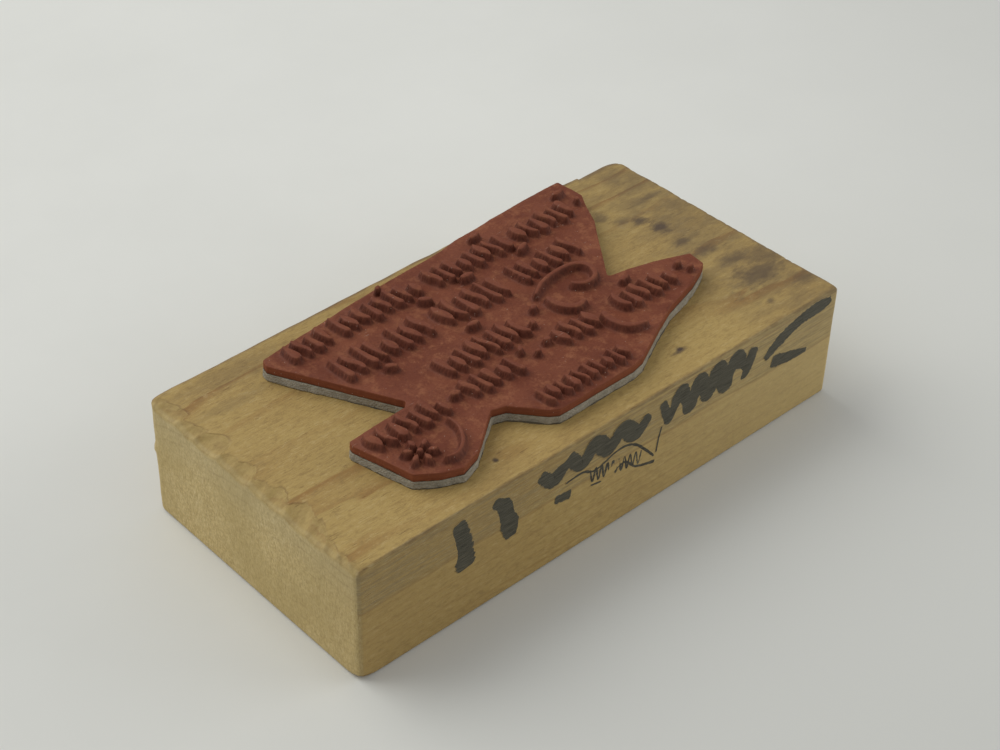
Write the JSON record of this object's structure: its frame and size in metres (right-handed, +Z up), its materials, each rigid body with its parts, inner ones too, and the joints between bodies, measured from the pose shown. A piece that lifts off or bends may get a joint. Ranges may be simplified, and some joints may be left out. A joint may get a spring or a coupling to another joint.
{
  "type": "rubber stamp",
  "caption": "Rectangular softwood block carrying a thin foam cushion and a trimmed sheet of moulded rubber, its raised printing marks facing up.",
  "frame": {"origin": "centre of the block's resting face, the side opposite the rubber", "axes": "+X along the block's length to the right, +Y to the back, +Z up, out of the printing side"},
  "size_m": [0.1016, 0.052, 0.0262],
  "materials": {
    "softwood": "matte",
    "adhesive": "satin",
    "foam": "matte",
    "red_rubber": "matte"
  },
  "bodies": {
    "block": {"wood_block": "softwood", "block_adhesive": "adhesive", "foam_cushion": "foam"},
    "die": {"die_adhesive": "adhesive", "rubber_die": "red_rubber"}
  },
  "joints": [
    {"name": "cushion_give", "type": "slide", "parent": "block", "child": "die", "axis": [0, 0, -1], "range_m": [0, 0.0006], "stiffness_N_per_m": 2000, "deforming": ["foam_cushion"]}
  ]
}
